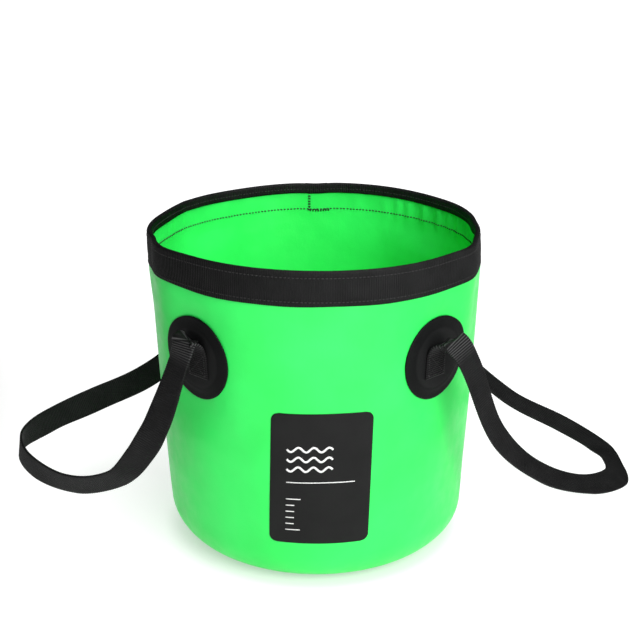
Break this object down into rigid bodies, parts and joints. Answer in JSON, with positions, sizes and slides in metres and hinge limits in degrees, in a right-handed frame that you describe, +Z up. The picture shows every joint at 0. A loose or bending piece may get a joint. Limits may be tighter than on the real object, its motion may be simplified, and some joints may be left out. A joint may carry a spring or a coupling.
{
  "type": "folding bucket",
  "caption": "Soft round folding bucket or washbasin with a webbing-bound rim, round handle patches and two long webbing carry handles; the wall folds down.",
  "frame": {"origin": "middle of the base's underside, on the surface that the bucket stands on", "axes": "+Z up through the middle of the rim; -Y towards the front, where the label panel is; the handles stand out towards -X and +X"},
  "size_m": [0.5893, 0.3033, 0.3063],
  "materials": {
    "wall": "satin",
    "webbing": "matte",
    "patch": "satin",
    "label": "satin",
    "thread": "matte"
  },
  "bodies": {
    "rim": {"upper_wall": "wall", "rim_binding": "webbing", "rim_lap": "webbing", "rim_stitching": "thread", "label_panel": "label", "patch_front_left": "patch", "patch_front_right": "patch", "patch_rear_left": "patch", "patch_rear_right": "patch", "strap_tab_front_left": "webbing", "strap_tab_front_right": "webbing", "strap_tab_rear_left": "webbing", "strap_tab_rear_right": "webbing", "box_stitch_front_left": "thread", "box_stitch_front_right": "thread", "box_stitch_rear_left": "thread", "box_stitch_rear_right": "thread"},
    "middle": {"middle_wall": "wall"},
    "base": {"lower_wall": "wall", "bottom_corner": "wall", "base_panel": "wall"},
    "left_handle": {"left_handle_strap": "webbing"},
    "right_handle": {"right_handle_strap": "webbing"}
  },
  "joints": [
    {"name": "base_slide", "type": "slide", "parent": "rim", "child": "base", "axis": [0, 0, 1], "range_m": [0, 0.155], "deforming": ["label_panel"]},
    {"name": "middle_slide", "type": "slide", "parent": "rim", "child": "middle", "axis": [0, 0, 1], "range_m": [0, 0.0778]},
    {"name": "left_handle_hinge", "type": "hinge", "parent": "rim", "child": "left_handle", "pos_m": [-0.12228, 0, 0.23271], "axis": [0, 1, 0], "range_deg": [-15, 155]},
    {"name": "right_handle_hinge", "type": "hinge", "parent": "rim", "child": "right_handle", "pos_m": [0.12228, 0, 0.23271], "axis": [0, -1, 0], "range_deg": [-15, 155]}
  ],
  "couplings": [
    {"joint": "middle_slide", "follows": "base_slide", "ratio": 0.5}
  ]
}
